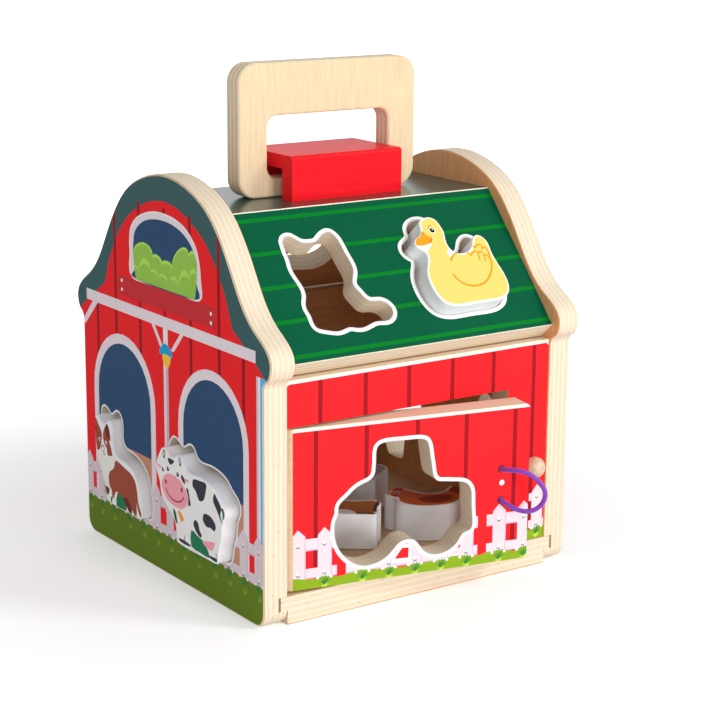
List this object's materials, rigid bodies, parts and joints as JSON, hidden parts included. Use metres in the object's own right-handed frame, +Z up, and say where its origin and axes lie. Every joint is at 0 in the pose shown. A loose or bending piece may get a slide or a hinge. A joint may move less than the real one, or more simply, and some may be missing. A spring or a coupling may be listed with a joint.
{
  "type": "toy barn shape sorter",
  "caption": "Wooden toy barn with printed gables, a hinged door with an elastic latch, animal-shaped holes, shape blocks and a carrying handle.",
  "frame": {"origin": "middle of the barn's footprint, on the ground", "axes": "+X along the front wall towards the latch side, -Y out through the door, +Z up"},
  "size_m": [0.1745, 0.2049, 0.2345],
  "materials": {
    "printed_plywood": "satin printed face, bare birch plywood edges",
    "red_plywood": "satin red print with dark plank lines, bare plywood edges",
    "green_plywood": "satin dark green paint, bare plywood edges",
    "bare_plywood": "clear-sealed birch plywood",
    "bare_wood": "clear-sealed beech",
    "red_paint": "gloss red paint",
    "white_block": "satin white paint with a printed face",
    "pin_steel": "bright steel",
    "screw_steel": "zinc-plated steel",
    "elastic_cord": "woven elastic"
  },
  "bodies": {
    "barn": {"left_gable": "printed_plywood", "right_gable": "printed_plywood", "base_panel": "bare_plywood", "front_wall": "red_plywood", "back_wall": "red_plywood", "roof_front_panel": "green_plywood", "roof_top_panel": "green_plywood", "roof_back_panel": "green_plywood", "joint_dowels": "bare_wood", "hinge_pins": "pin_steel", "latch_knob": "bare_wood", "knob_dowel": "bare_wood", "handle_bracket": "red_paint", "bracket_screws": "screw_steel"},
    "door": {"door": "red_plywood", "elastic_loop": "elastic_cord", "elastic_knots": "elastic_cord"},
    "handle": {"handle": "bare_plywood"},
    "dog": {"dog_block": "white_block"},
    "cow": {"cow_block": "white_block"},
    "duck": {"duck_block": "white_block"},
    "horse": {"horse_block": "white_block"},
    "hen": {"hen_block": "white_block"},
    "rabbit": {"rabbit_block": "white_block"}
  },
  "joints": [
    {"name": "door_hinge", "type": "hinge", "parent": "barn", "child": "door", "pos_m": [-0.063, -0.075, 0.05], "axis": [0, 0, 1], "range_deg": [-94, 11]},
    {"name": "handle_fold", "type": "hinge", "parent": "barn", "child": "handle", "pos_m": [0, -0.0043, 0.1747], "axis": [1, 0, 0], "range_deg": [0, 90]},
    {"name": "dog_block_slide", "type": "slide", "parent": "barn", "child": "dog", "axis": [-1, 0, 0], "range_m": [-0.019, 0.012]},
    {"name": "cow_block_slide", "type": "slide", "parent": "barn", "child": "cow", "axis": [-1, 0, 0], "range_m": [-0.019, 0.012]},
    {"name": "duck_block_slide", "type": "slide", "parent": "barn", "child": "duck", "axis": [0, -0.7529, 0.6581], "range_m": [-0.019, 0.009]},
    {"name": "horse_block_lift", "type": "slide", "parent": "barn", "child": "horse", "axis": [0, 0, 1], "range_m": [0, 0.05]},
    {"name": "hen_block_lift", "type": "slide", "parent": "barn", "child": "hen", "axis": [0, 0, 1], "range_m": [0, 0.05]},
    {"name": "rabbit_block_lift", "type": "slide", "parent": "barn", "child": "rabbit", "axis": [0, 0, 1], "range_m": [0, 0.05]}
  ]
}
